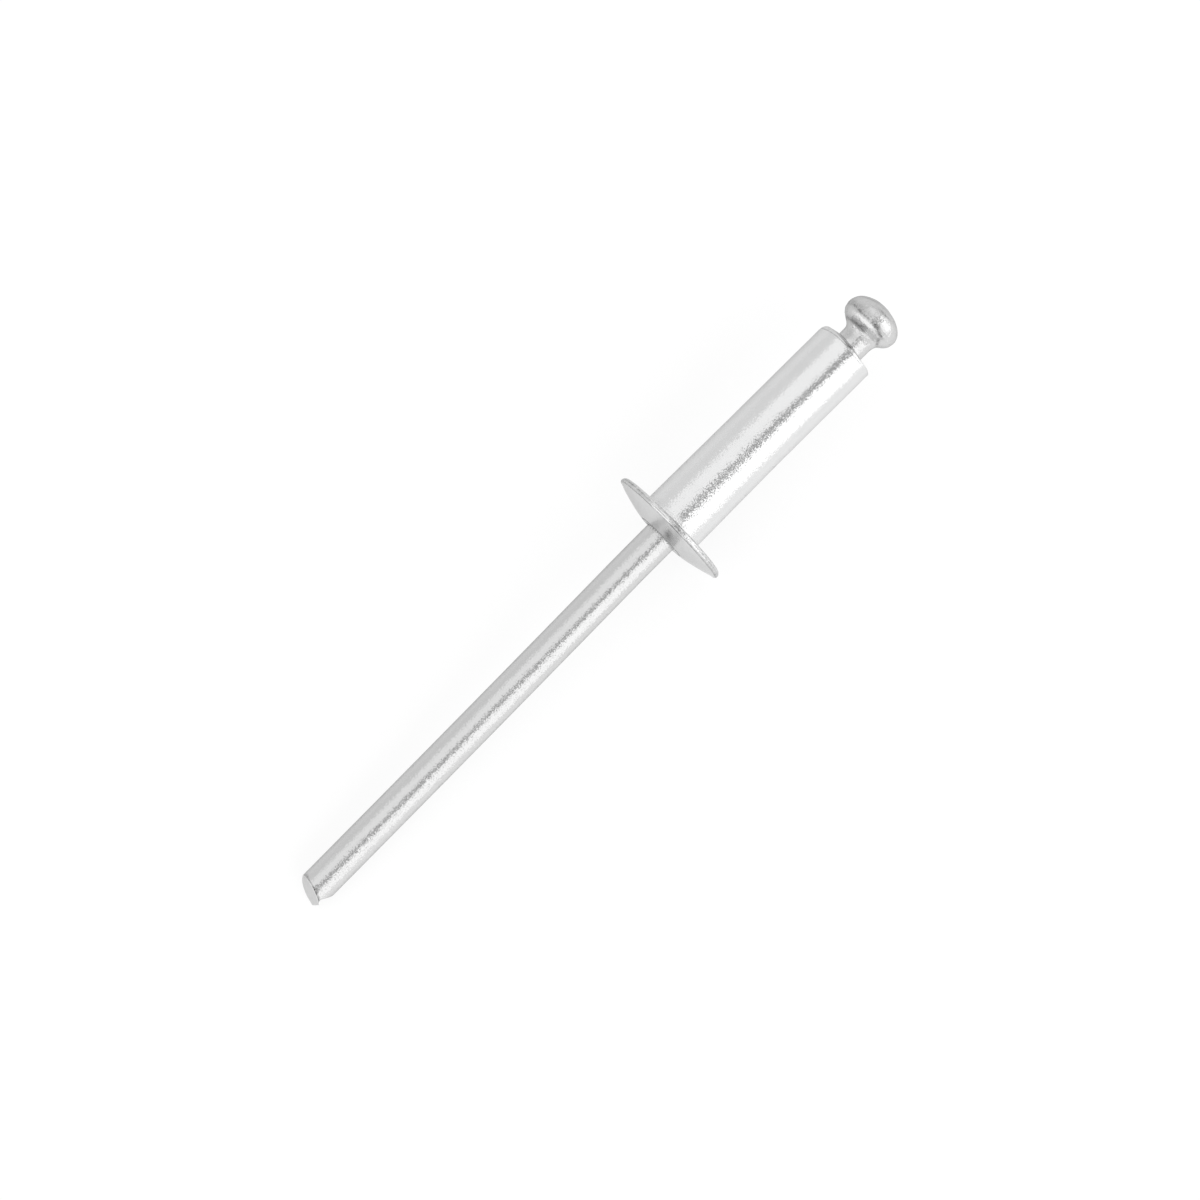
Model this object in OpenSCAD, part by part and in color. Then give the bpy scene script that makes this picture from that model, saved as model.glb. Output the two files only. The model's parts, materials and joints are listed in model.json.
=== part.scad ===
// Open-end blind rivet, 4.8 mm by 18 mm, in millimetres.
// A hollow sleeve with a low domed flange is closed in over the neck of its mandrel.
// Both pieces are drawn upright, with the flange's bearing face at height 0 and the
// mandrel's head upwards. The rivet is then laid down as it comes to rest: on the rim
// of its flange and the end of its mandrel, with the head towards +X.

/* [Sleeve] */
// Outer diameter of the sleeve
sleeve_d = 4.8; // [4.6:0.1:5.2]
// Length of the sleeve, from the bearing face to its closed end
sleeve_length = 18; // [12:0.5:30]
// Radius of the corner where the sleeve's end turns in
crimp_corner_radius = 0.4; // [0.25:0.05:0.6]
// Slope of the turned-in end face, in degrees from square
crimp_face_angle = 14; // [6:1:22]
// Length of the narrowed hole that grips the mandrel's neck
crimp_grip_length = 0.35; // [0.2:0.05:0.6]

/* [Flange] */
// Diameter of the flange
flange_d = 9.72; // [9:0.02:10.2]
// Height of the flange, from the bearing face to the flat land round the hole
flange_height = 1.2; // [1:0.05:1.5]
// Radius of the rim's corner on the domed side
rim_dome_radius = 0.15; // [0.08:0.01:0.22]
// Radius of the rim's corner on the bearing side
rim_seat_radius = 0.36; // [0.2:0.02:0.5]
// Width of the flat land round the hole
land_width = 0.45; // [0.2:0.05:0.8]
// Radius of the fillet between the bearing face and the sleeve
seat_fillet_radius = 0.2; // [0.1:0.05:0.3]

/* [Mandrel] */
// Diameter of the mandrel's shank
mandrel_d = 2.54; // [2.4:0.02:2.9]
// Radial play between the shank and the bore
bore_clearance = 0.08; // [0.02:0.01:0.1]
// Length of the mandrel that stands out of the flange
mandrel_projection = 35.8; // [27:0.1:45]
// Diameter of the neck where the mandrel breaks
neck_d = 2.4; // [2.2:0.05:2.45]
// Play along the axis between the shank's shoulder and the closed end
shoulder_clearance = 0.1; // [0.05:0.05:0.3]

/* [Mandrel head] */
// Diameter of the head
head_d = 4.4; // [4.1:0.02:4.7]
// Bare neck between the sleeve's end and the start of the head's fillet
neck_gap = 0.55; // [0.2:0.05:1.2]
// Radius of the fillet from the neck into the head
head_fillet_radius = 0.85; // [0.5:0.05:1]
// Radius of the shoulder up to the head's widest place
head_shoulder_radius = 1; // [0.6:0.05:1.1]
// Slope of the cone between fillet and shoulder, in degrees from the axis
head_cone_angle = 52; // [45:1:55]
// Height of the head's dome above its widest place
head_dome_height = 1.44; // [1:0.02:2]

/* [Mandrel tail] */
// Slope of the sheared end, in degrees from square
shear_angle = 26; // [10:0.5:30]
// Turn of the shear about the axis, in degrees from level
shear_turn = 44.5; // [20:0.5:60]
// Turn of the flat and the dent beside the tip, in degrees from level
dent_turn = 18; // [0:1:40]
// Distance that the flat beside the tip is set in from the wire's side
tip_inset = 0.44; // [0.3:0.01:0.55]
// Depth of the dent that the shear leaves before that flat
dent_depth = 0.62; // [0.58:0.01:0.8]
// Radius of the bottom of the dent
dent_radius = 0.3; // [0.2:0.01:0.4]
// Distance from the end of the wire to the middle of the dent
dent_from_end = 0.7; // [0.5:0.01:0.9]
// Slope of the dent's long side, in degrees from the axis
dent_slope = 38; // [30:1:60]

/* [Hidden] */
$fn = 96;
arc_steps = 10;
// Size of the blocks that cut the wire's end, well over the wire
shear_block = 3 * mandrel_d;
// Turn of the seam in the turned sleeve, in degrees. A copy of it made of flats then
// lies on the middle of a flat of its rim, not on a corner between two.
seam_turn = 2.57;

sleeve_r = sleeve_d / 2;
flange_r = flange_d / 2;
mandrel_r = mandrel_d / 2;
neck_r = neck_d / 2;
head_r = head_d / 2;
bore_r = mandrel_r + bore_clearance;
land_r = bore_r + land_width;

// The dome is one arc about the axis. It starts at the land and runs into the rim's
// corner without an edge, which gives a quadratic for its radius.
dome_rise = flange_height - rim_seat_radius;
dome_reach = (flange_r * (flange_r - 2 * rim_dome_radius) - pow(land_r, 2)
              + pow(dome_rise, 2)) / (2 * dome_rise);
rim_share = rim_dome_radius / dome_rise;
dome_r = (dome_reach * rim_share
          + sqrt(pow(dome_reach, 2) + (1 - pow(rim_share, 2)) * pow(land_r, 2)))
         / (1 - pow(rim_share, 2));
dome_centre_z = sqrt(pow(dome_r, 2) - pow(land_r, 2)) - flange_height;
dome_land_angle = asin(land_r / dome_r);
dome_rim_angle = asin((flange_r - rim_dome_radius) / (dome_r - rim_dome_radius));

// Heights along the closed end and the neck
crimp_face_r = sleeve_r - crimp_corner_radius * (1 - sin(crimp_face_angle));
crimp_face_rise = (crimp_face_r - neck_r) * tan(crimp_face_angle);
crimp_corner_z = sleeve_length - crimp_face_rise - crimp_corner_radius * cos(crimp_face_angle);
grip_z = sleeve_length - crimp_grip_length;
bore_end_z = grip_z - (bore_r - neck_r);
shoulder_z = bore_end_z - shoulder_clearance;

// Heights along the head: fillet, cone, shoulder, widest place
head_start_z = sleeve_length + neck_gap;
fillet_end_r = neck_r + head_fillet_radius * (1 - cos(head_cone_angle));
fillet_end_z = head_start_z + head_fillet_radius * sin(head_cone_angle);
shoulder_start_r = head_r - head_shoulder_radius * (1 - cos(head_cone_angle));
shoulder_start_z = fillet_end_z + (shoulder_start_r - fillet_end_r) / tan(head_cone_angle);
head_widest_z = shoulder_start_z + head_shoulder_radius * sin(head_cone_angle);

// The sheared end: its furthest corner, as a height and an angle round the wire, then
// the heights where its plane crosses the axis, where the wire's blank begins, and
// where the plane meets the line along the underside of the wire
end_z = -flange_height - mandrel_projection;
end_angle = dent_turn + acos(1 - tip_inset / mandrel_r);
shear_drop = mandrel_r * tan(shear_angle);
shear_z = end_z + shear_drop * cos(end_angle - shear_turn);
blank_z = shear_z - shear_drop;
tail_foot_z = shear_z - shear_drop * sin(shear_turn);

// The rest: one level line touches the rim's corner and the tail's foot
foot_to_rim_z = -rim_seat_radius - tail_foot_z;
foot_to_rim_r = flange_r - rim_dome_radius - mandrel_r;
lean = atan(foot_to_rim_r / foot_to_rim_z)
       + asin(rim_dome_radius / norm([foot_to_rim_z, foot_to_rim_r]));
rest_height = mandrel_r * cos(lean) - tail_foot_z * sin(lean);
tail_end_x = end_z * cos(lean) + mandrel_r * sin(end_angle) * sin(lean);
head_end_x = head_widest_z * cos(lean) + norm([head_dome_height * cos(lean), head_r * sin(lean)]);
middle_x = (tail_end_x + head_end_x) / 2;

// Points [radius, height] of an arc, its angles counted from straight outwards
function arc(centre_r, centre_z, radius, from, to) =
    [for (i = [0 : arc_steps])
        let (a = from + (to - from) * i / arc_steps)
            [centre_r + radius * cos(a), centre_z + radius * sin(a)]];

// Points [radius, height] of the head's dome, from its widest place to its top
function head_dome() =
    [for (i = [1 : 2 * arc_steps])
        let (a = 90 * i / (2 * arc_steps))
            [i == 2 * arc_steps ? 0 : head_r * cos(a), head_widest_z + head_dome_height * sin(a)]];

// Lays an upright piece down as the rivet rests, over the middle of its length
module laid_down() {
    translate([-middle_x, 0, rest_height])
        rotate([0, 90 - lean, 0])
            children();
}

// Sleeve, flange and closed end, cold-formed in one piece
module rivet_body() {
    color("gainsboro")
        laid_down()
            rotate([0, 0, seam_turn])
                rotate_extrude()
                    polygon(concat(
                        [[bore_r, -flange_height]],
                        arc(0, dome_centre_z, dome_r, dome_land_angle - 90, dome_rim_angle - 90),
                        arc(flange_r - rim_dome_radius, -rim_seat_radius, rim_dome_radius,
                            dome_rim_angle - 90, 0),
                        arc(flange_r - rim_seat_radius, -rim_seat_radius, rim_seat_radius, 0, 90),
                        arc(sleeve_r + seat_fillet_radius, seat_fillet_radius, seat_fillet_radius,
                            270, 180),
                        arc(sleeve_r - crimp_corner_radius, crimp_corner_z, crimp_corner_radius,
                            0, 90 - crimp_face_angle),
                        [[neck_r, sleeve_length], [neck_r, grip_z], [bore_r, bore_end_z]]));
}

// The wire from its tail to the top of its head, before its tail is sheared
module mandrel_blank() {
    rotate_extrude()
        polygon(concat(
            [[0, blank_z], [mandrel_r, blank_z], [mandrel_r, shoulder_z],
             [neck_r, shoulder_z + mandrel_r - neck_r]],
            arc(neck_r + head_fillet_radius, head_start_z, head_fillet_radius,
                180, 180 - head_cone_angle),
            arc(head_r - head_shoulder_radius, head_widest_z, head_shoulder_radius,
                -head_cone_angle, 0),
            head_dome()));
}

// What the shear takes away beyond the sheared face
module shear_waste() {
    translate([0, 0, shear_z])
        rotate([0, 0, shear_turn])
            rotate([shear_angle, 0, 0])
                translate([-shear_block / 2, -shear_block / 2, -shear_block])
                    cube(shear_block);
}

// What the shear presses away beside the tip: a flat that runs on to the end, and
// before it a dent with a round bottom and a long side
module shear_dent() {
    translate([0, 0, end_z + dent_from_end])
        rotate([0, 0, dent_turn]) {
            translate([-shear_block / 2, tip_inset - mandrel_r - shear_block, -shear_block])
                cube(shear_block);
            translate([0, dent_depth - mandrel_r - dent_radius, 0]) {
                rotate([0, 90, 0])
                    cylinder(h = shear_block, r = dent_radius, center = true);
                rotate([dent_slope, 0, 0])
                    translate([-shear_block / 2, dent_radius - shear_block, 0])
                        cube(shear_block);
            }
        }
}

// Shank, neck and head, one piece of wire
module mandrel() {
    color("silver")
        laid_down()
            difference() {
                mandrel_blank();
                shear_waste();
                shear_dent();
            }
}

rivet_body();
mandrel();
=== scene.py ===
"""Dresses the blind rivet: a turned sleeve and a turned, sheared mandrel, lying on a pale floor."""

import json
import math

import bmesh
import bpy
import numpy as np
from mathutils import Matrix, Vector


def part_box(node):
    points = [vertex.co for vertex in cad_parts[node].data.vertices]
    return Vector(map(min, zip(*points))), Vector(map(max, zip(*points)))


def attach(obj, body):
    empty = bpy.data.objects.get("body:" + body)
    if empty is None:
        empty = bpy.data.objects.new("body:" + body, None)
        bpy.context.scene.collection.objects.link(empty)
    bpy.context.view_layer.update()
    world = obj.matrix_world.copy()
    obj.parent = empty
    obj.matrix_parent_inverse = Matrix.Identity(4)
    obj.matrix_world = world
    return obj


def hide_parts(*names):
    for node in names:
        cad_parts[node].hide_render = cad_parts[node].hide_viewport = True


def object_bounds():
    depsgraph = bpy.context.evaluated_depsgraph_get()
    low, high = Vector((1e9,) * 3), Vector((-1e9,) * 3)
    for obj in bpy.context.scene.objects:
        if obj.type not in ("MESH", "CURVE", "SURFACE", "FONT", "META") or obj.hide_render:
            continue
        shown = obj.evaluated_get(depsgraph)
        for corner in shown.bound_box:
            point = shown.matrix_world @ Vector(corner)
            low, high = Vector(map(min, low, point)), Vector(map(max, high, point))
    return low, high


MM = 0.001

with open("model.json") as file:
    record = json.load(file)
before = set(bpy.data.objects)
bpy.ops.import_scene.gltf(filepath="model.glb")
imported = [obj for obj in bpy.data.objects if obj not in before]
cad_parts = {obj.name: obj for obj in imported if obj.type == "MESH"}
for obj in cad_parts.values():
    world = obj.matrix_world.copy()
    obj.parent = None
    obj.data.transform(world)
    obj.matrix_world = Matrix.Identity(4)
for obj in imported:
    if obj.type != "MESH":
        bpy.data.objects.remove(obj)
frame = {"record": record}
cad_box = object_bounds()

# ---------------------------------------------------------------- place and main sizes
# Lengths in mm and angles in degrees, in the rivet's own upright frame: height 0 is the
# flange's bearing face, the mandrel's head is above it and its tail below.
mounts = {mount["name"]: mount for mount in frame["record"]["mounts"]}
AXIS = Vector(mounts["flange_seat"]["axis"]).normalized()
SEAT = Vector(mounts["flange_seat"]["pos_m"])
SEAT.y = 0
SIDE = Vector((0, 1, 0))
UNDER = SIDE.cross(AXIS)
UPRIGHT_TO_REST = Matrix.Translation(SEAT) @ Matrix((UNDER, SIDE, AXIS)).transposed().to_4x4()


def half_width(node):
    """Radius of a node's widest ring, in mm."""
    low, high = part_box(node)
    return (high.y - low.y) / 2 / MM


SLEEVE_R = mounts["sleeve"]["dims"]["r_mm"]
SHANK_R = mounts["mandrel_shank"]["dims"]["r_mm"]
FLANGE_R = half_width("rivet_body")
HEAD_R = half_width("mandrel")

SLEEVE_LENGTH = 18.0
FLANGE_HEIGHT = 1.2
BORE_PLAY = 0.08
LAND_WIDTH = 0.45
BORE_R = SHANK_R + BORE_PLAY
LAND_R = BORE_R + LAND_WIDTH
RIM_DOME_R = 0.07
RIM_SEAT_R = 0.36
SEAT_FILLET_R = 0.2
CRIMP_R = 0.4
CRIMP_SLOPE = 14.0
LIP_R = 0.05

NECK_R = 1.2
GRIP_LENGTH = 0.35
GRIP_Z = SLEEVE_LENGTH - GRIP_LENGTH
SHOULDER_Z = 17.4
NECK_GAP = 0.55
HEAD_START_Z = SLEEVE_LENGTH + NECK_GAP
HEAD_FILLET_R = 0.85
HEAD_SHOULDER_R = 1.0
HEAD_CONE = 52.0
HEAD_DOME = 1.435

PROJECTION = 35.8
END_Z = -FLANGE_HEIGHT - PROJECTION
SHEAR_SLOPE = 26.0
SHEAR_TURN = 44.5
DENT_TURN = 18.0
TIP_INSET = 0.38
DENT_DEPTH = 0.56
DENT_R = 0.3
DENT_FROM_END = 0.7
DENT_Z = END_Z + DENT_FROM_END
DENT_SLOPE = 38.0
FACET_TURN = 14.0
EDGE_R = 0.02

# Rings of the mandrel's mesh from there to its end: the wall, its rolled edge, the face
TAIL_START_Z = -35.2
WALL_RINGS = 52
ROUND_RINGS = 6
FACE_RINGS = 16

# Steps of each piece's mesh round the axis
SLEEVE_STEPS = 280
MANDREL_STEPS = 220


def cosd(angle):
    """Cosine of an angle in degrees."""
    return math.cos(math.radians(angle))


def sind(angle):
    """Sine of an angle in degrees."""
    return math.sin(math.radians(angle))


def tand(angle):
    """Tangent of an angle in degrees."""
    return math.tan(math.radians(angle))


def bell(value, middle, width):
    """1 where value is at its middle, falling to almost 0 two widths from it."""
    return np.exp(-(((value - middle) / width) ** 2))


def smooth_step(low, high, value):
    """0 up to low, 1 from high on, smooth between; falling where low is above high."""
    share = np.clip((value - low) / (high - low), 0, 1)
    return share * share * (3 - 2 * share)


def soft_least(a, b, blend):
    """The lesser of a and b, rounded over a width of blend where they cross."""
    share = np.clip(0.5 + 0.5 * (b - a) / blend, 0, 1)
    return b * (1 - share) + a * share - blend * share * (1 - share)


def mark(spots, at_y, at_z, size_y, size_z):
    """A soft spot on the upper side, its place and size in mm beside and along the axis."""
    x, y, z = spots.T
    return bell(y, at_y, size_y) * bell(z, at_z, size_z) * (x < 0)


def wander(turn, seed, waves=6):
    """A smooth closed wander round the axis, about -1 to 1, the same for the same seed."""
    rng = np.random.default_rng(seed)
    total = np.zeros_like(turn)
    for wave in range(1, waves + 1):
        total += rng.normal() / math.sqrt(wave) * np.sin(wave * turn + rng.uniform(0, 2 * math.pi))
    return total / 2


# ---------------------------------------------------------------- profiles
def arc(centre_r, centre_z, radius, start, end, count):
    """Points [radius, height] of an arc, its angles counted from straight outwards."""
    angles = np.radians(np.linspace(start, end, count))
    return np.stack([centre_r + radius * np.cos(angles), centre_z + radius * np.sin(angles)], 1)


def straight(start, end, count):
    """Evenly spaced points from start to end."""
    return np.linspace(start, end, count)


def joined(*runs):
    """One profile from runs of points, without the points that repeat."""
    points = np.concatenate(runs)
    gap = np.linalg.norm(np.diff(points, axis=0), axis=1)
    return points[np.concatenate([[True], gap > 1e-4])]


def sleeve_profile():
    """The sleeve with its flange: up the outside from the land, over the end, down the bore."""
    rise = FLANGE_HEIGHT - RIM_SEAT_R
    reach = (FLANGE_R * (FLANGE_R - 2 * RIM_DOME_R) - LAND_R**2 + rise**2) / (2 * rise)
    share = RIM_DOME_R / rise
    slack = 1 - share**2
    dome_r = (reach * share + math.sqrt(reach**2 + slack * LAND_R**2)) / slack
    dome_z = math.sqrt(dome_r**2 - LAND_R**2) - FLANGE_HEIGHT
    land_angle = math.degrees(math.asin(LAND_R / dome_r))
    rim_angle = math.degrees(math.asin((FLANGE_R - RIM_DOME_R) / (dome_r - RIM_DOME_R)))
    face_r = SLEEVE_R - CRIMP_R * (1 - sind(CRIMP_SLOPE))
    face_rise = (face_r - NECK_R) * tand(CRIMP_SLOPE)
    corner_z = SLEEVE_LENGTH - face_rise - CRIMP_R * cosd(CRIMP_SLOPE)
    start = arc(BORE_R + LIP_R, -FLANGE_HEIGHT + LIP_R, LIP_R, 180, 270, 5)
    near_angle = math.degrees(math.asin((LAND_R + 0.3) / dome_r))
    dome = np.concatenate([
        arc(0, dome_z, dome_r, land_angle - 90, near_angle - 90, 22),
        arc(0, dome_z, dome_r, near_angle - 90, rim_angle - 90, 60),
    ])
    dome[:, 1] += 0.06 * bell(dome[:, 0], LAND_R + 0.05, 0.04)
    return joined(
        start,
        straight([BORE_R + 2 * LIP_R, -FLANGE_HEIGHT], [LAND_R - LIP_R, -FLANGE_HEIGHT], 8),
        dome,
        arc(FLANGE_R - RIM_DOME_R, -RIM_SEAT_R, RIM_DOME_R, rim_angle - 90, 0, 10),
        arc(FLANGE_R - RIM_SEAT_R, -RIM_SEAT_R, RIM_SEAT_R, 0, 90, 14),
        straight([FLANGE_R - 1.05 * RIM_SEAT_R, 0], [SLEEVE_R + 1.05 * SEAT_FILLET_R, 0], 18),
        arc(SLEEVE_R + SEAT_FILLET_R, SEAT_FILLET_R, SEAT_FILLET_R, 270, 180, 9),
        straight([SLEEVE_R, 0.25], [SLEEVE_R, 2], 12),
        straight([SLEEVE_R, 2.2], [SLEEVE_R, 16.4], 58),
        straight([SLEEVE_R, 16.5], [SLEEVE_R, corner_z - 0.02], 26),
        arc(SLEEVE_R - CRIMP_R, corner_z, CRIMP_R, 0, 90 - CRIMP_SLOPE, 22),
        straight([face_r - 0.03, SLEEVE_LENGTH - face_rise], [NECK_R + LIP_R, SLEEVE_LENGTH], 12),
        arc(NECK_R + LIP_R, SLEEVE_LENGTH - LIP_R, LIP_R, 90, 180, 4),
        straight([NECK_R, GRIP_Z + 0.2], [NECK_R, GRIP_Z], 3),
        straight([BORE_R, GRIP_Z - 0.15], [BORE_R, -FLANGE_HEIGHT + LIP_R], 8),
        start[:1],
    )


def mandrel_profile():
    """The mandrel, from the top of its head down its shank to the middle of its tail."""
    fillet_r = NECK_R + HEAD_FILLET_R * (1 - cosd(HEAD_CONE))
    fillet_z = HEAD_START_Z + HEAD_FILLET_R * sind(HEAD_CONE)
    shoulder_r = HEAD_R - HEAD_SHOULDER_R * (1 - cosd(HEAD_CONE))
    shoulder_z = fillet_z + (shoulder_r - fillet_r) / tand(HEAD_CONE)
    widest_z = shoulder_z + HEAD_SHOULDER_R * sind(HEAD_CONE)
    dome_angle = np.radians(90 - 90 * np.linspace(0, 1, 54) ** 1.15)
    dome = np.stack([HEAD_R * np.cos(dome_angle), widest_z + HEAD_DOME * np.sin(dome_angle)], 1)
    dome[0, 0] = 0
    return widest_z, joined(
        dome,
        arc(HEAD_R - HEAD_SHOULDER_R, widest_z, HEAD_SHOULDER_R, 0, -HEAD_CONE, 30),
        straight([shoulder_r, shoulder_z], [fillet_r, fillet_z], 6),
        arc(NECK_R + HEAD_FILLET_R, HEAD_START_Z, HEAD_FILLET_R, 180 - HEAD_CONE, 180, 18),
        straight([NECK_R, HEAD_START_Z - 0.04], [NECK_R, SLEEVE_LENGTH - 0.1], 15),
        straight([NECK_R, GRIP_Z], [NECK_R, SHOULDER_Z + 0.1], 3),
        straight([SHANK_R, SHOULDER_Z], [SHANK_R, -0.6], 20),
        straight([SHANK_R, -0.7], [SHANK_R, TAIL_START_Z], 80),
        straight([SHANK_R, TAIL_START_Z - 0.01], [SHANK_R, END_Z], WALL_RINGS),
        straight([SHANK_R, END_Z - 0.01], [SHANK_R, END_Z - 0.1], ROUND_RINGS),
        straight([SHANK_R - 0.01, END_Z - 0.1], [0, END_Z - 0.1], FACE_RINGS),
    )


# ---------------------------------------------------------------- turning with nodes
class Tree:
    """Builds a node tree: any node comes from node(), and any link from its sockets."""

    def __init__(self, tree):
        self.tree = tree

    def node(self, kind, settings=None, sockets=None, out=0):
        """Adds a node, its settings first, then its sockets' values or links."""
        made = self.tree.nodes.new(kind)
        for name, value in (settings or {}).items():
            setattr(made, name, value)
        for name, value in (sockets or {}).items():
            if isinstance(value, Term):
                self.tree.links.new(value.socket, made.inputs[name])
            else:
                made.inputs[name].default_value = value
        return Term(self, made.outputs[out]) if made.outputs else None

    def math(self, operation, *values):
        """A Math node on numbers or terms."""
        return self.node("ShaderNodeMath", {"operation": operation}, dict(enumerate(values)))

    def vector(self, operation, *values):
        """A Vector Math node on vectors or terms."""
        return self.node("ShaderNodeVectorMath", {"operation": operation}, dict(enumerate(values)))

    def parts(self, place):
        """The x, y and z of a place."""
        first = self.node("ShaderNodeSeparateXYZ", {}, {0: place})
        return [Term(self, socket) for socket in first.socket.node.outputs]

    def scaled(self, direction, scale):
        """A direction made longer by scale."""
        settings = {"operation": "SCALE"}
        return self.node("ShaderNodeVectorMath", settings, {0: direction, "Scale": scale})

    def rise(self, value, low, high):
        """0 below low, 1 above high, smooth between."""
        settings = {"interpolation_type": "SMOOTHSTEP"}
        values = {"Value": value, "From Min": low, "From Max": high}
        return self.node("ShaderNodeMapRange", settings, values)


class Term:
    """A socket that takes part in sums, so that 1 - mask adds its own Math node."""

    def __init__(self, tree, socket):
        self.tree = tree
        self.socket = socket

    def __add__(self, other):
        return self.tree.math("ADD", self, other)

    def __radd__(self, other):
        return self.tree.math("ADD", other, self)

    def __sub__(self, other):
        return self.tree.math("SUBTRACT", self, other)

    def __rsub__(self, other):
        return self.tree.math("SUBTRACT", other, self)

    def __mul__(self, other):
        return self.tree.math("MULTIPLY", self, other)

    def __rmul__(self, other):
        return self.tree.math("MULTIPLY", other, self)

    def __truediv__(self, other):
        return self.tree.math("DIVIDE", self, other)

    def __rtruediv__(self, other):
        return self.tree.math("DIVIDE", other, self)


def turning_tree():
    """Turns a profile of radii and heights about the Z axis, with forged lumps."""
    group = bpy.data.node_groups.new("turned form", "GeometryNodeTree")
    face = group.interface
    face.new_socket("Profile", in_out="INPUT", socket_type="NodeSocketGeometry")
    face.new_socket("Steps around", in_out="INPUT", socket_type="NodeSocketInt")
    face.new_socket("Lump size", in_out="INPUT", socket_type="NodeSocketFloat")
    face.new_socket("Seed", in_out="INPUT", socket_type="NodeSocketFloat")
    face.new_socket("Finish", in_out="INPUT", socket_type="NodeSocketMaterial")
    face.new_socket("Form", in_out="OUTPUT", socket_type="NodeSocketGeometry")
    tree = Tree(group)
    given = tree.node("NodeGroupInput").socket.node.outputs
    profile, steps, lump_size, seed, finish = (Term(tree, given[i]) for i in range(5))
    rings = tree.node("GeometryNodeAttributeDomainSize", {}, {"Geometry": profile})
    sheet = tree.node(
        "GeometryNodeMeshGrid",
        {},
        {"Size X": rings - 1, "Size Y": 1.0, "Vertices X": rings, "Vertices Y": steps + 1},
    )
    along, across, _ = tree.parts(tree.node("GeometryNodeInputPosition"))
    ring = tree.math("ROUND", along + (rings - 1) / 2)
    turn = (across + 0.5) * (2 * math.pi)

    def on_profile(value, kind):
        settings = {"data_type": kind, "domain": "POINT"}
        return tree.node(
            "GeometryNodeSampleIndex", settings, {"Geometry": profile, "Value": value, "Index": ring}
        )

    def named(name, kind):
        return tree.node("GeometryNodeInputNamedAttribute", {"data_type": kind}, {"Name": name})

    point = on_profile(tree.node("GeometryNodeInputPosition"), "FLOAT_VECTOR")
    outward = on_profile(named("outward", "FLOAT_VECTOR"), "FLOAT_VECTOR")
    lump = on_profile(named("lump", "FLOAT"), "FLOAT")

    def turned(spot):
        radius, _, height = tree.parts(spot)
        x, y = radius * tree.math("COSINE", turn), radius * tree.math("SINE", turn)
        return tree.node("ShaderNodeCombineXYZ", {}, {0: x, 1: y, 2: height})

    true_place = turned(point)
    noise = tree.node(
        "ShaderNodeTexNoise",
        {"noise_dimensions": "4D", "normalize": True},
        {"Vector": true_place, "W": seed, "Scale": 1 / lump_size, "Detail": 2.0},
    )
    swell = tree.scaled(turned(outward), (noise - 0.5) * lump)
    form = tree.node(
        "GeometryNodeStoreNamedAttribute",
        {"data_type": "FLOAT", "domain": "POINT"},
        {"Geometry": sheet, "Name": "ring", "Value": ring},
    )
    form = tree.node(
        "GeometryNodeSetPosition",
        {},
        {"Geometry": form, "Position": tree.vector("ADD", true_place, swell)},
    )
    form = tree.node("GeometryNodeMergeByDistance", {}, {"Geometry": form, "Distance": 1e-7})
    form = tree.node("GeometryNodeRealizeInstances", {}, {"Geometry": form})
    form = tree.node("GeometryNodeSetMaterial", {}, {"Geometry": form, "Material": finish})
    tree.node("NodeGroupOutput", {}, {0: form})
    return group


def turn_piece(name, profile, lump, steps, lump_size, seed, finish):
    """Turns a profile in mm into a plain closed mesh in the upright frame.

    Each point of the profile has its own height of lumps in mm, and lump_size is how far
    they lie apart.
    """
    source = bpy.data.meshes.new(name + " profile")
    spots = np.insert(profile * MM, 1, 0, axis=1)
    links = [(i, i + 1) for i in range(len(spots) - 1)]
    source.from_pydata(spots.tolist(), links, [])
    slope = np.gradient(profile, axis=0)
    outward = np.stack([slope[:, 1], np.zeros(len(slope)), -slope[:, 0]], 1)
    outward /= np.linalg.norm(outward, axis=1)[:, None]
    outward[profile[:, 0] == 0, 0] = 0
    source.attributes.new("outward", "FLOAT_VECTOR", "POINT").data.foreach_set(
        "vector", outward.ravel().astype(np.float32)
    )
    source.attributes.new("lump", "FLOAT", "POINT").data.foreach_set(
        "value", (lump * MM).astype(np.float32)
    )
    blank = bpy.data.objects.new(name + " blank", source)
    bpy.context.scene.collection.objects.link(blank)
    modifier = blank.modifiers.new("turning", "NODES")
    modifier.node_group = TURNING
    inputs = {i.name: i.identifier for i in TURNING.interface.items_tree if i.in_out == "INPUT"}
    modifier[inputs["Steps around"]] = steps
    modifier[inputs["Lump size"]] = lump_size * MM
    modifier[inputs["Seed"]] = seed
    modifier[inputs["Finish"]] = finish
    bpy.context.view_layer.update()
    graph = bpy.context.evaluated_depsgraph_get()
    mesh = bpy.data.meshes.new_from_object(blank.evaluated_get(graph))
    bpy.data.objects.remove(blank)
    mesh.name = name
    return mesh


def read(mesh, name):
    """A mesh's float attribute as an array."""
    values = np.zeros(len(mesh.vertices), np.float32)
    mesh.attributes[name].data.foreach_get("value", values)
    return values.astype(float)


def spots_of(mesh):
    """A mesh's vertices as x, y, z in mm, and the angle of each round the axis."""
    values = np.zeros(len(mesh.vertices) * 3)
    mesh.vertices.foreach_get("co", values)
    spots = values.reshape(-1, 3) / MM
    return spots, np.arctan2(spots[:, 1], spots[:, 0]) % (2 * math.pi)


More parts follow.
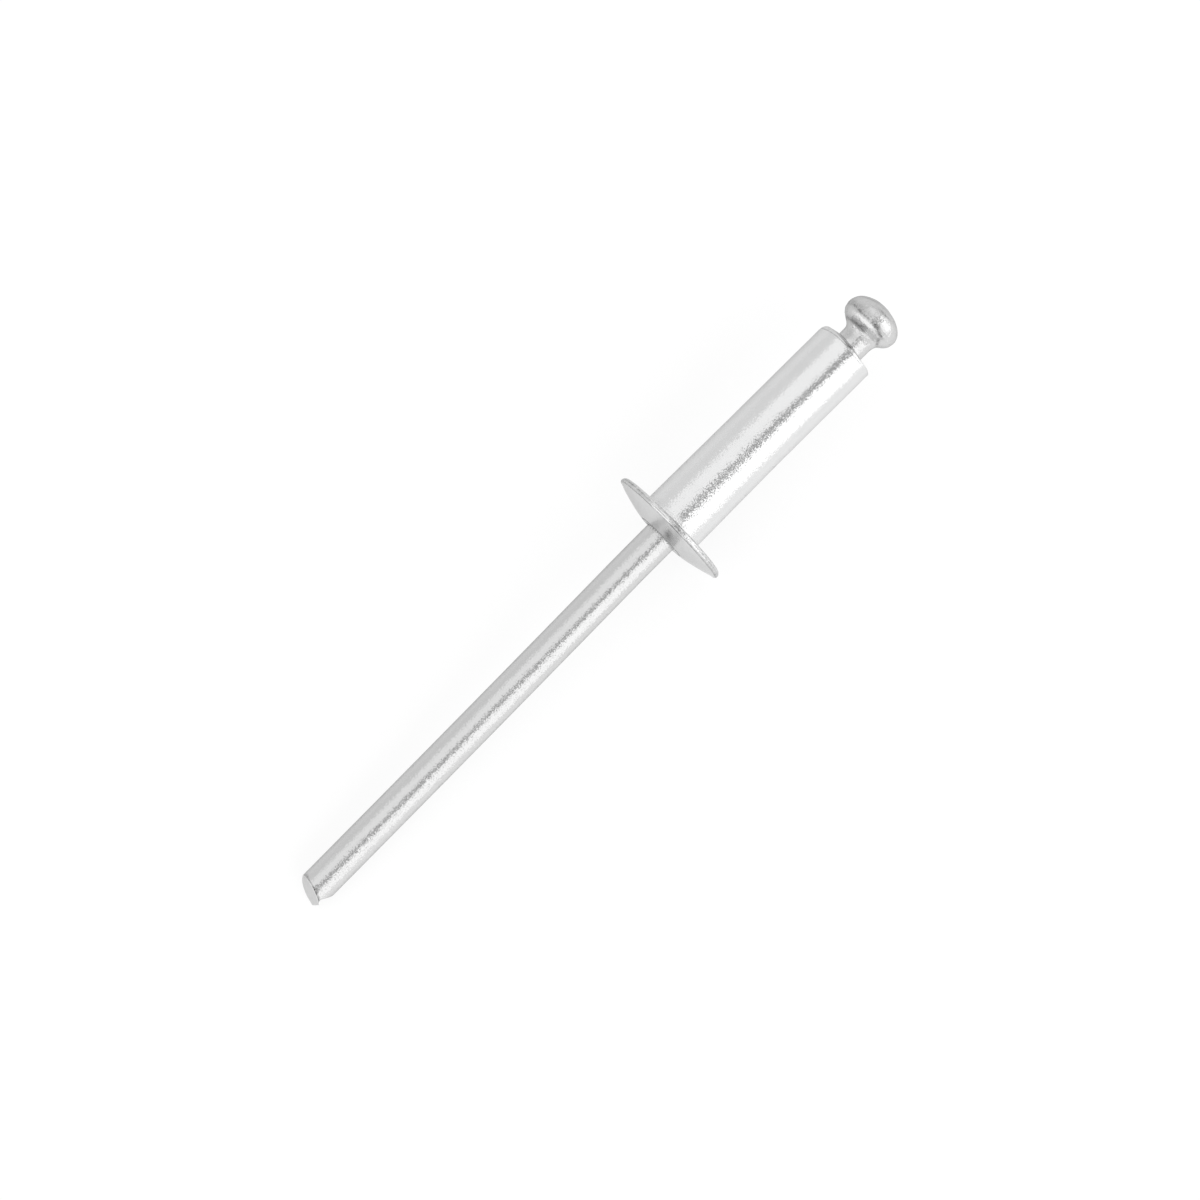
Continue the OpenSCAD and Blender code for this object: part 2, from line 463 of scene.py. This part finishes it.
def finish_piece(name, mesh, spots, masks, node):
    """Lays the mesh down as the rivet rests, stores its masks and hands it to the frame."""
    mesh.vertices.foreach_set("co", (spots * MM).ravel())
    for mask, values in masks.items():
        layer = mesh.attributes.new(mask, "FLOAT", "POINT")
        layer.data.foreach_set("value", values.astype(np.float32))
    mesh.attributes.remove(mesh.attributes["ring"])
    mesh.transform(UPRIGHT_TO_REST)
    solid = bmesh.new()
    solid.from_mesh(mesh)
    if solid.calc_volume(signed=True) < 0:
        bmesh.ops.reverse_faces(solid, faces=solid.faces)
        solid.to_mesh(mesh)
    solid.free()
    mesh.shade_smooth()
    mesh.update()
    piece = bpy.data.objects.new(name, mesh)
    bpy.context.scene.collection.objects.link(piece)
    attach(piece, "root")
    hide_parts(node)


# ---------------------------------------------------------------- finishes
class Paint(Tree):
    """A metal finish on Object coordinates, with patterns as expressions."""

    def __init__(self, name):
        self.material = bpy.data.materials.new(name)
        self.material.use_nodes = True
        super().__init__(self.material.node_tree)
        self.shader = self.tree.nodes["Principled BSDF"]
        here = self.node("ShaderNodeTexCoord", out="Object")
        lean = math.atan2(AXIS.z, AXIS.x)
        settings = {"rotation_type": "Y_AXIS"}
        turned = {"Vector": here, "Center": SEAT, "Angle": lean}
        self.along = self.node("ShaderNodeVectorRotate", settings, turned)

    def noise(self, size, detail=2.0, roughness=0.5, stretch=1.0, seed=0.0):
        """Noise of about 0 to 1 with marks of that size in mm, longer along the rivet by stretch."""
        scale = Vector((1 / stretch, 1, 1)) / (size * MM)
        spot = self.vector("MULTIPLY", self.along, scale)
        settings = {"noise_dimensions": "4D"}
        values = {"Vector": spot, "W": seed, "Scale": 1.0, "Detail": detail, "Roughness": roughness}
        return self.node("ShaderNodeTexNoise", settings, values)

    def mask(self, name):
        """The piece's own mask of that name."""
        return self.node("ShaderNodeAttribute", {"attribute_name": name}, out="Fac")

    def blend(self, share, first, second):
        """The second colour where share is 1, the first where it is 0."""
        # A Mix node names its number, vector and colour sockets alike, so these are counted
        settings = {"data_type": "RGBA"}
        return self.node("ShaderNodeMix", settings, {0: share, 6: first, 7: second}, out=2)

    def feed(self, **sockets):
        """Feeds the shader's sockets, their names with _ for a space."""
        for name, value in sockets.items():
            socket = self.shader.inputs[name.replace("_", " ")]
            if isinstance(value, Term):
                self.tree.links.new(value.socket, socket)
            else:
                socket.default_value = value

    def grain(self, size, tilt, seed):
        """The surface's facing, tilted a little from one grain of that size in mm to the next."""
        spot = self.vector("MULTIPLY", self.along, Vector((1, 1, 1)) / (size * MM))
        settings = {"noise_dimensions": "4D"}
        values = {"Vector": spot, "W": seed, "Scale": 1.0, "Detail": 1.0}
        colour = self.node("ShaderNodeTexNoise", settings, values, "Color")
        push = self.scaled(self.vector("SUBTRACT", colour, (0.5, 0.5, 0.5)), tilt)
        facing = self.node("ShaderNodeNewGeometry", out="Normal")
        return self.vector("NORMALIZE", self.vector("ADD", facing, push))

    def relief(self, normal, *layers):
        """Bump layers over a normal, each a height of 0 to 1 and its depth in mm."""
        for height, depth in layers:
            values = {"Height": height, "Distance": depth * MM, "Strength": 1.0, "Normal": normal}
            normal = self.node("ShaderNodeBump", {}, values)
        self.feed(Normal=normal)


def grey(level, warmth=0.0):
    """A nearly neutral metal colour."""
    return (level * (1 + warmth), level, level * (1 - warmth), 1)


def bright_aluminium():
    """Cold-formed aluminium alloy: fine satin grain, faint scuffs, duller where it was pressed."""
    paint = Paint("bright aluminium")
    fleck = paint.noise(0.16, detail=3.0, seed=1)
    cloud = paint.noise(1.1, detail=3.0, seed=2)
    scuff = paint.rise(paint.noise(0.3, detail=4.0, stretch=5, seed=3), 0.62, 0.72)
    pressed = paint.mask("pressed")
    smudge = paint.rise(paint.noise(0.8, detail=3.0, seed=4), 0.5, 0.66) * pressed
    tone = paint.blend(0.6 * cloud + 0.4 * fleck, grey(0.66, -0.003), grey(0.74, -0.001))
    tone = paint.blend(0.3 * smudge, tone, grey(0.42))
    # Painted highlight: a lighter colour on the dome's upper side, along the rim's glint, by the seat
    # and on the seat's corner
    tone = paint.blend(paint.mask("polished"), tone, grey(0.84))
    speck = paint.rise(paint.noise(0.2, detail=4.0, roughness=0.7, seed=8), 0.35, 0.6)
    # Dark where shade and dark reflections are painted, and where the dome has a smudge of dirt
    tone = paint.blend(paint.mask("soiled") * (0.35 + 0.65 * speck), tone, grey(0.2))
    dull = 0.125 + 0.05 * cloud + 0.05 * fleck + 0.08 * scuff + 0.08 * pressed
    dull = dull + 0.2 * paint.mask("polished") + 0.25 * paint.mask("closed")
    paint.feed(Base_Color=tone, Metallic=1.0, Roughness=dull, Specular_Tint=grey(0.72))
    paint.relief(
        paint.grain(0.085, 0.75 * paint.mask("grainy"), seed=6),
        (paint.noise(0.6, detail=1.0, seed=5), 0.008),
        (paint.noise(0.3, detail=3.0, seed=7) * pressed, 0.05),
    )
    return paint.material


def zinc_wire():
    """Drawn steel wire, zinc plated: lengthwise draw lines, a mottled head, a torn sheared end."""
    paint = Paint("zinc plated wire")
    fleck = paint.noise(0.14, detail=3.0, seed=11)
    draw = paint.noise(0.07, detail=3.0, stretch=26, seed=12)
    cloud = paint.noise(0.9, detail=3.0, stretch=2, seed=13)
    forged = paint.mask("forged")
    sheared = paint.mask("sheared")
    stain = paint.rise(paint.noise(0.5, detail=4.0, seed=14), 0.52, 0.7) * forged
    tone = paint.blend(0.5 * cloud + 0.3 * fleck + 0.2 * draw, grey(0.56), grey(0.64))
    tone = paint.blend(0.15 * stain, tone, grey(0.3))
    tone = paint.blend(sheared, tone, paint.blend(fleck, grey(0.7), grey(0.78)))
    speck = paint.rise(paint.noise(0.2, detail=4.0, roughness=0.7, seed=18), 0.35, 0.6)
    # Dark along the parting line, and where shade and dark reflections are painted
    tone = paint.blend(paint.mask("soiled") * (0.35 + 0.65 * speck), tone, grey(0.12))
    dull = 0.15 + 0.06 * draw + 0.06 * fleck + 0.02 * forged + 0.2 * sheared
    paint.feed(Base_Color=tone, Metallic=1.0, Roughness=dull, Specular_Tint=grey(0.66))
    paint.relief(
        paint.grain(0.085, 0.75 * paint.mask("grainy"), seed=16),
        (draw, 0.005),
        (paint.noise(0.6, detail=1.0, stretch=2, seed=15), 0.006),
        (paint.noise(0.3, detail=3.0, seed=17) * forged, 0.05),
    )
    return paint.material


# ---------------------------------------------------------------- the sleeve
def sleeve_skin(radius):
    """1 on the sleeve's outside, 0 in its bore."""
    return smooth_step(BORE_R + 0.05, BORE_R + 0.3, radius)


def sleeve_offset(z):
    """Sideways offset of the sleeve's axis, which bows a little and leans towards its end."""
    return 0.119 - 0.01196 * z + 0.02 * np.sin(np.pi * np.clip(z / 17, 0, 1))


def crimp_fold(radius, z, turn):
    """1 along the fold that the crimp has left part of the way round the closed end."""
    around = np.degrees(turn)
    fold_z = 17.3 + 0.22 * smooth_step(95, 175, around)
    span = smooth_step(70, 95, around) * smooth_step(205, 175, around)
    return span * bell(z, fold_z, 0.035) * (radius > SLEEVE_R - 0.3)


def rim_glint(x, y):
    """1 along the length of the rim that gets a painted highlight and where the burrs are almost gone.
    """
    return smooth_step(1.5, 1.1, y) * smooth_step(-0.7, -0.3, y) * (x < 0)


def shaped_sleeve(spots, turn):
    """Tapers and leans the wall, crimps the end unevenly, and leaves burrs on the rim."""
    x, y, z = spots.T
    radius = np.hypot(x, y)
    side = y / radius
    skin = sleeve_skin(radius)
    wall = smooth_step(SLEEVE_R + 0.6, SLEEVE_R + 0.25, radius) * (z > -0.1) * skin
    taper = wall * (0.0086 * np.clip(8.4 - z, 0, 7.6) - 0.027) * radius / SLEEVE_R
    late = np.maximum(smooth_step(17.15, 17.75, z) * skin, smooth_step(17.65, 17.95, z))
    bevel = late * (0.012 * wander(turn, 21, 9) - 0.05 * np.clip(side, 0, 1))
    fold = -0.025 * crimp_fold(radius, z, turn)
    rim = -0.025 * smooth_step(FLANGE_R - 0.5, FLANGE_R, radius)
    nick = 0.012 * wander(turn, 23, 40) * bell(radius, FLANGE_R - 0.05, 0.06) * (z < -0.2)
    grown = 1 + (taper + bevel + fold + rim + nick) / radius

    face = smooth_step(2.4, 2.05, radius)
    sunk = late * ((0.175 * side - 0.125) * (0.45 + 0.55 * face) + 0.02 * wander(turn, 22, 7))
    off_table = smooth_step(0.97, 0.85, np.cos(turn))
    edge = bell(radius, FLANGE_R - 0.1, 0.05) * (z < -0.3) * (1 - 0.9 * rim_glint(x, y))
    burr = edge * off_table * (0.02 + 0.025 * wander(turn, 24, 60))
    tilted = 0.018 * y * skin

    outside = -0.02 + wall * (sleeve_offset(z) + 0.02)
    mouth = 0.1 - 0.0103 * (z + FLANGE_HEIGHT)
    offset = outside * skin + mouth * (1 - skin)
    return np.stack([x * grown, y * grown + offset, z + sunk + tilted - burr], 1)


def sleeve_masks(turned, shaped, turn):
    """Where the sleeve is pressed, where a highlight is painted, where it is closed, where shade is
    painted dark with a little dirt, and where it is grainy.

    Bands follow the turned form, and single marks lie at their place on the shaped one.
    """
    x, y, z = turned.T
    radius = np.hypot(x, y)
    skin = sleeve_skin(radius)
    bright = rim_glint(x, y)
    by_land = smooth_step(2.9, 1.5, radius) * (z < -0.6)
    by_rim = smooth_step(FLANGE_R - 0.2, FLANGE_R - 0.08, radius)
    by_seat = smooth_step(0.65, 0.4, z) * (z > -0.05) * skin
    crimped = smooth_step(17.25, 17.5, z) * skin
    dome = smooth_step(LAND_R + 0.05, LAND_R + 0.2, radius) * (z < -0.3) * (1 - by_rim)
    rim_line = bell(radius, FLANGE_R - 0.06, 0.06) * (z < -0.2)
    rim_corner = (radius > FLANGE_R - 0.4) * smooth_step(-0.14, -0.06, z)

    # Painted shade: a dark ring in the groove round the bore's mouth, and a dark line in the crimp's
    # fold
    soiled = 1.2 * bell(radius, LAND_R + 0.03, 0.09) * (z < -1) + 0.6 * crimp_fold(radius, z, turn)
    # Painted shade on the dome's lower side, and a painted dark reflection along the rim's edge
    # outside its highlight
    soiled += 0.12 * smooth_step(0, -3, y) * (z < -0.35) + 0.6 * rim_line * (1 - bright)
    # Painted shadow of the seat: a broken dark line on the rim's seat side
    seat_line = bell(z, -0.2, 0.05) * (radius > FLANGE_R - 0.2) * (x < 0)
    soiled += 0.7 * seat_line * smooth_step(-0.5, 0.3, wander(turn, 25, 50))
    # A thin, broken dark line painted along the rim, inside its painted highlight
    thin_rim_line = bell(z, -0.31, 0.03) * (radius > FLANGE_R - 0.1) * bright
    soiled += 0.8 * thin_rim_line * smooth_step(-0.3, 0.2, wander(turn, 26, 60))
    # A smudge on the dome by the bore, partly dirt and partly the painted dark reflection of the
    # shank; painted shade on the crimped end by the neck
    soiled += 0.9 * mark(shaped, -0.76, -0.95, 0.34, 0.24) + 1.2 * mark(shaped, -0.42, 17.6, 0.4, 0.13)
    # Painted shadow of the seat along the rim's seat side
    on_rim = (radius > FLANGE_R - 0.4) & (z > -0.6)
    soiled += 0.7 * on_rim * mark(shaped, -1.0, -0.2, 0.5, 0.2)
    soiled += 0.8 * on_rim * mark(shaped, -0.95, 0, 0.55, 0.06)

    # Painted highlight: lighter on the dome's upper side, along the rim's glint, by the seat and on
    # the seat's corner
    polished = 0.7 * dome * (0.1 + 0.9 * smooth_step(-3, 1, y)) + rim_line * bright
    polished += by_seat * bell(y, -0.35, 0.5) + 0.9 * rim_corner * smooth_step(-0.4, 0.3, y)
    return {
        "pressed": np.maximum(np.maximum(by_land, crimped), by_rim),
        "polished": np.clip(polished, 0, 1),
        "closed": smooth_step(17.5, 17.65, z) * skin + 0.45 * by_seat,
        "soiled": np.clip(soiled, 0, 1),
        "grainy": (1 - 0.35 * smooth_step(7, 14, z)) * (1 - 0.6 * dome) * skin,
    }


def sleeve():
    """The sleeve with its flange, cold-formed in one piece and crimped on the mandrel."""
    profile = sleeve_profile()
    radius, height = profile.T
    outside = (radius > BORE_R + 0.01) & (height < SLEEVE_LENGTH - 0.01)
    crimp = smooth_step(16.4, 17.3, height)
    lump = np.where(outside, 0.015 + 0.02 * (height < -0.3) + 0.04 * crimp, 0.0)
    finish = bright_aluminium()
    mesh = turn_piece("turned sleeve", profile, lump, SLEEVE_STEPS, 1.1, 3.0, finish)
    turned, turn = spots_of(mesh)
    shaped = shaped_sleeve(turned, turn)
    masks = sleeve_masks(turned, shaped, turn)
    finish_piece("rivet_sleeve", mesh, shaped, masks, "rivet_body")


# ---------------------------------------------------------------- the mandrel
def shear_height(x, y):
    """Height of the sheared plane at a place beside the axis."""
    end_angle = DENT_TURN + math.degrees(math.acos(1 - TIP_INSET / SHANK_R))
    slope = tand(SHEAR_SLOPE)
    middle = END_Z + SHANK_R * slope * cosd(end_angle - SHEAR_TURN)
    worn = 0.05 * smooth_step(-0.3, 0.4, y)
    return middle + slope * (y * cosd(SHEAR_TURN) - x * sind(SHEAR_TURN)) - worn


def dent_limit(z):
    """How far the wire reaches towards the dent's side at a height: flat, dent, long slope."""
    middle = SHANK_R - DENT_DEPTH + DENT_R
    flat = SHANK_R - TIP_INSET
    bottom = middle - np.sqrt(np.clip(DENT_R**2 - (z - DENT_Z) ** 2, 0, None))
    slope_z = DENT_Z + DENT_R * sind(DENT_SLOPE)
    slope_s = middle - DENT_R * cosd(DENT_SLOPE)
    ramp = slope_s + (z - slope_z) * tand(DENT_SLOPE)
    tip_side = np.where(z < DENT_Z - DENT_R, flat, np.minimum(flat, bottom))
    return np.where(z > slope_z, ramp, np.where(z > DENT_Z, bottom, tip_side))


def dented(x, y, z):
    """Presses places on the wire in to the dent's limit."""
    towards = np.array([sind(DENT_TURN), -cosd(DENT_TURN)])
    reach = x * towards[0] + y * towards[1]
    pressed = reach - soft_least(reach, dent_limit(z), 0.08)
    return x - towards[0] * pressed, y - towards[1] * pressed


def sheared_tail(spots, ring, turn, last_ring):
    """Shapes the wire's last rings: the dented wall, the rolled edge and the torn face."""
    face_from = last_ring - FACE_RINGS + 1
    round_from = face_from - ROUND_RINGS
    wall_from = round_from - WALL_RINGS
    on_wall = (ring >= wall_from) & (ring < round_from)
    on_end = ring >= round_from

    # The wall's rings share out the height down to the sheared plane, less the rolled edge
    share = np.clip((ring - wall_from + 1) / WALL_RINGS, 0, 1)
    angle = np.radians(90 * np.clip((ring - round_from + 1) / ROUND_RINGS, 0, 1))
    clear = EDGE_R * (1 - np.sin(angle))
    rim_x, rim_y = SHANK_R * np.cos(turn), SHANK_R * np.sin(turn)
    wall_x, wall_y = rim_x, rim_y
    rolled = 0.08 * np.clip((rim_y - 0.85) / (SHANK_R - 0.85), 0, 1) ** 4
    for _ in range(4):
        end = shear_height(wall_x, wall_y) + rolled + clear
        height = TAIL_START_Z + share * (end - TAIL_START_Z)
        wall_x, wall_y = dented(rim_x, rim_y, height)

    # On the upper side the shear has raised a lip, a groove before it and a small facet
    from_end = np.where(on_wall, height - end + EDGE_R, clear)
    upper = smooth_step(-0.3, -0.65, np.cos(turn))
    lip = 0.012 * bell(from_end, 0, 0.05) - 0.025 * bell(from_end, 0.13, 0.05)
    grown = 1 + upper * lip / SHANK_R
    wall_x, wall_y = wall_x * grown, wall_y * grown
    facet_x, facet_y = -cosd(FACET_TURN), -sind(FACET_TURN)
    limit = SHANK_R - 0.055 * np.clip(1 - from_end / 0.5, 0, 1)
    over = np.clip(wall_x * facet_x + wall_y * facet_y - limit, 0, None)
    wall_x, wall_y = wall_x - facet_x * over, wall_y - facet_y * over

    # The rolled edge and the face close in on the middle of the sheared plane
    inset = EDGE_R * (1 - np.cos(angle))
    keep = 1 - np.clip((ring - face_from + 1) / FACE_RINGS, 0, 1)
    centre_x, centre_y = 0.5 * TIP_INSET * -sind(DENT_TURN), 0.5 * TIP_INSET * cosd(DENT_TURN)
    out_x, out_y = wall_x - centre_x, wall_y - centre_y
    reach = np.hypot(out_x, out_y)
    kept = keep * (reach - inset) / reach
    face_x, face_y = centre_x + out_x * kept, centre_y + out_y * kept
    tear = np.sin(4 * face_x + 3 * face_y) * np.sin(2 * face_x - 5 * face_y + 1)
    face_z = shear_height(face_x, face_y) + rolled * keep + 0.01 * tear**2 * (1 - keep**6)

    wall = np.stack([wall_x, wall_y, height], 1)
    face = np.stack([face_x, face_y, face_z + clear], 1)
    spots = np.where(on_wall[:, None], wall, np.where(on_end[:, None], face, spots))
    # Painted shade in the groove before the lip
    soiled = (0.5 + 0.4 * (spots[:, 1] < -0.3)) * upper * on_wall * bell(from_end, 0.09, 0.07)
    return spots, on_end.astype(float), soiled


def wire_offset(z):
    """Sideways offset of the wire's axis: a slight bow, then along the leaning bore."""
    bow = 0.014 - 0.035 * np.sin(np.pi * np.clip((z - END_Z) / 32, 0, 1))
    inside = 0.014 - 0.0062 * np.clip(z + 4, 0, 22.5)
    head = smooth_step(SLEEVE_LENGTH + 0.7, SLEEVE_LENGTH + 1.5, z)
    return np.where(z < -4, bow, inside) * (1 - head)


def parting_line(y, z, turn, widest_z):
    """Strength of the line that the heading dies left round the head, and its height."""
    line_z = widest_z - 0.25 + 0.03 * y / HEAD_R + 0.07 * wander(turn, 31, 18)
    return bell(z, line_z, 0.09) * (1 + 0.6 * wander(turn, 32, 24)), line_z


def mandrel_marks_and_shade(spots, turn, widest_z):
    """Where the mandrel's head, neck and tail are darkened: its parting line, painted shade, painted
    dark reflections and a few dark spots.
    """
    x, y, z = spots.T
    on_head = smooth_step(SLEEVE_LENGTH + 0.8, SLEEVE_LENGTH + 1.3, z)
    line, _ = parting_line(y, z, turn, widest_z)
    broken = 0.2 + 0.8 * smooth_step(-0.5, 0.4, wander(turn, 33, 44))
    soiled = 0.5 * on_head * np.clip(line, 0, 1.2) * smooth_step(-1.9, 0.6, y) * broken
    # Painted shade in the fillet under the head
    soiled += 0.65 * bell(z, 19.25, 0.1) * smooth_step(-0.5, 0.2, y) * (x < 0)
    # A thin dark arc across the upper side of the dome
    arc_z = widest_z + 1.33 - 0.4 * y
    soiled += 0.5 * bell(z, arc_z, 0.035) * smooth_step(0.2, 0.6, y) * (x < 0)
    # Painted dark reflections on the head's underside and dome
    blots = ((-0.75, 20.05, 0.3, 0.18), (-1.45, 19.4, 0.1, 0.34), (-1.3, 19.75, 0.3, 0.12))
    for blot in blots + ((-1.0, 19.85, 0.25, 0.16), (-0.55, 21.05, 0.5, 0.1)):
        soiled += 0.75 * mark(spots, *blot)
    # Painted shade on the neck, in the gap between the sleeve's end and the head
    soiled += 0.25 * mark(spots, 0.4, 18.4, 0.5, 0.35)
    # A small dark spot on the upper side near the tail
    return soiled + 0.45 * mark(spots, 0.9, -35.72, 0.14, 0.14)


def mandrel():
    """The mandrel: upset head with its parting line, lumpy neck, long shank, sheared tail, with
    painted shade and dark reflections.
    """
    widest_z, profile = mandrel_profile()
    _, height = profile.T
    head = smooth_step(HEAD_START_Z, HEAD_START_Z + 0.5, height)
    neck = smooth_step(SLEEVE_LENGTH - 0.2, SLEEVE_LENGTH, height) * (1 - head)
    lump = 0.008 + 0.06 * head + 0.05 * neck
    lump[-FACE_RINGS - ROUND_RINGS :] = 0.0
    finish = zinc_wire()
    mesh = turn_piece("turned mandrel", profile, lump, MANDREL_STEPS, 0.7, 8.0, finish)
    spots, turn = spots_of(mesh)
    spots, sheared, soiled = sheared_tail(spots, read(mesh, "ring"), turn, len(profile) - 1)
    soiled += mandrel_marks_and_shade(spots, turn, widest_z)
    # Painted shadow at the start of the dent
    soiled += 0.9 * (1 - sheared) * mark(spots, -0.2, -36.08, 0.2, 0.17)

    x, y, z = spots.T
    on_head = smooth_step(SLEEVE_LENGTH + 0.8, SLEEVE_LENGTH + 1.3, z)
    line, line_z = parting_line(y, z, turn, widest_z)
    sunk = on_head * (0.006 * bell(z, line_z - 0.22, 0.09) - 0.022 * line)
    slim = 0.006 * smooth_step(-14, 0, z) - 0.009 * smooth_step(SLEEVE_LENGTH, 17, z)
    grown = 1 + (sunk + slim) / np.maximum(np.hypot(x, y), 0.5)
    thick = 1 + 0.035 * np.maximum(y, -0.5) * on_head
    z = widest_z + (z - widest_z) * thick
    shaped = np.stack([x * grown, y * grown + wire_offset(z), z], 1)

    # A darker band round the head's widest part, on its upper side
    shoulder_darkening = on_head * bell(z, widest_z - 0.08, 0.28) * smooth_step(-0.7, 0.3, y) * (x < 0)
    by_seam = on_head * bell(z, widest_z, 0.45) * smooth_step(-1.6, -0.6, y)
    masks = {
        "sheared": sheared,
        "forged": smooth_step(SLEEVE_LENGTH - 0.1, SLEEVE_LENGTH + 0.4, z),
        "soiled": np.clip(soiled + 0.4 * shoulder_darkening, 0, 1),
        "grainy": (1 - 0.5 * sheared) * (1 - 0.65 * on_head) + 0.9 * by_seam,
    }
    finish_piece("rivet_mandrel", mesh, shaped, masks, "mandrel")


TURNING = turning_tree()
sleeve()
mandrel()


# ---------------------------------------------------------------- floor, light and camera
def pale_floor():
    """A wide pale floor: white to the eye and to reflections, with a soft shadow left in it."""
    side, gap = 3.0, 0.01 * MM
    mesh = bpy.data.meshes.new("floor")
    corners = [(-side, -side, 0), (side, -side, 0), (side, side, 0), (-side, side, 0)]
    mesh.from_pydata(corners, [], [(0, 1, 2, 3)])
    floor = bpy.data.objects.new("floor", mesh)
    floor.location.z = cad_box[0][2] - gap
    bpy.context.scene.collection.objects.link(floor)
    material = bpy.data.materials.new("pale floor")
    material.use_nodes = True
    tree = Tree(material.node_tree)
    rays = ("Is Camera Ray", "Is Glossy Ray", "Is Transmission Ray")
    seen, mirrored, through = (tree.node("ShaderNodeLightPath", out=ray) for ray in rays)
    share = 0.8 * tree.math("MAXIMUM", tree.math("MAXIMUM", seen, mirrored), through)
    # In reflections the floor is brighter on one side of the rivet than on the other
    _, beside, _ = tree.parts(tree.node("ShaderNodeTexCoord", out="Object"))
    bright = 1.24 - 0.285 * tree.rise(beside, -0.006, 0.004)
    bright = bright - 0.1 * tree.rise(0 - beside, 0.007, 0.02)
    level = 1.0 + mirrored * (bright - 1.0)
    white = tree.scaled((1, 1, 1), level)
    glow = tree.node("ShaderNodeEmission", {}, {"Color": white, "Strength": 1.0})
    matt = tree.node("ShaderNodeBsdfDiffuse", {}, {"Color": (0.93, 0.93, 0.93, 1)})
    both = tree.node("ShaderNodeMixShader", {}, {0: share, 1: matt, 2: glow})
    tree.tree.links.new(both.socket, tree.tree.nodes["Material Output"].inputs["Surface"])
    mesh.materials.append(material)


def studio_surround():
    """A soft studio round the rivet: strip lights along it, and the gap between them."""
    world = bpy.data.worlds.new("studio")
    bpy.context.scene.world = world
    world.use_nodes = True
    tree = Tree(world.node_tree)
    way_x, way_y, way_z = tree.parts(tree.node("ShaderNodeTexCoord", out="Generated"))
    # Degrees from straight up, towards -Y above 0 and towards +Y below it
    tilt = tree.math("ARCTAN2", 0 - way_y, way_z) * (180 / math.pi)
    level = 1.0 - 0.09 * tree.rise(tilt, -92, -76) + 0.29 * tree.rise(tilt, -45, -38)
    gap = 0.82 * tree.rise(tilt, 6, 20)
    strip = tree.rise(tilt, 26, 38) * (1.2 + 0.4 * tree.rise(way_x, 0.25, 0.5))
    strip = strip * (1 - 0.55 * tree.rise(0 - way_x, 0.12, 0.35))
    level = level - gap + strip
    # The two ends of the studio, beyond the head and beyond the tail
    by_head, by_tail = tree.rise(way_x, 0.9, 0.97), tree.rise(0 - way_x, 0.5, 0.75)
    level = level * (1 - by_head) + 0.8 * by_head
    level = level * (1 - by_tail) + (1.55 - 0.5 * tree.rise(tilt, 75, 100)) * by_tail
    light = tree.tree.nodes["Background"]
    light.inputs["Color"].default_value = (1, 1, 1, 1)
    tree.tree.links.new(level.socket, light.inputs["Strength"])


def softbox(name, place, size, power):
    """A square soft lamp that faces the middle of the rivet and isn't mirrored in it."""
    lamp = bpy.data.lights.new(name, "AREA")
    lamp.size = size
    lamp.energy = power
    holder = bpy.data.objects.new(name, lamp)
    holder.location = place
    holder.visible_glossy = False
    holder.rotation_euler = (-Vector(place)).to_track_quat("-Z", "Y").to_euler()
    bpy.context.scene.collection.objects.link(holder)


def camera():
    """A long lens that looks down on the rivet, over its side."""
    turn, down, distance = 45.310, 77.824, 0.30036
    look = Vector((0.2203, -0.0552, 4.0)) * MM
    ahead = Vector((sind(turn) * cosd(down), cosd(turn) * cosd(down), -sind(down)))
    right = Vector((cosd(turn), -sind(turn), 0))
    up = right.cross(ahead)
    lens = bpy.data.cameras.new("camera")
    lens.sensor_width = 36
    lens.lens = 127.335
    lens.clip_start = 0.01
    holder = bpy.data.objects.new("camera", lens)
    facing = Matrix((right, up, -ahead)).transposed().to_4x4()
    holder.matrix_world = Matrix.Translation(look - ahead * distance) @ facing
    bpy.context.scene.collection.objects.link(holder)
    bpy.context.scene.camera = holder


pale_floor()
studio_surround()
softbox("key softbox", place=(-0.05, -0.42, 0.34), size=0.3, power=0.4)
camera()
bpy.context.scene.view_settings.view_transform = "Standard"
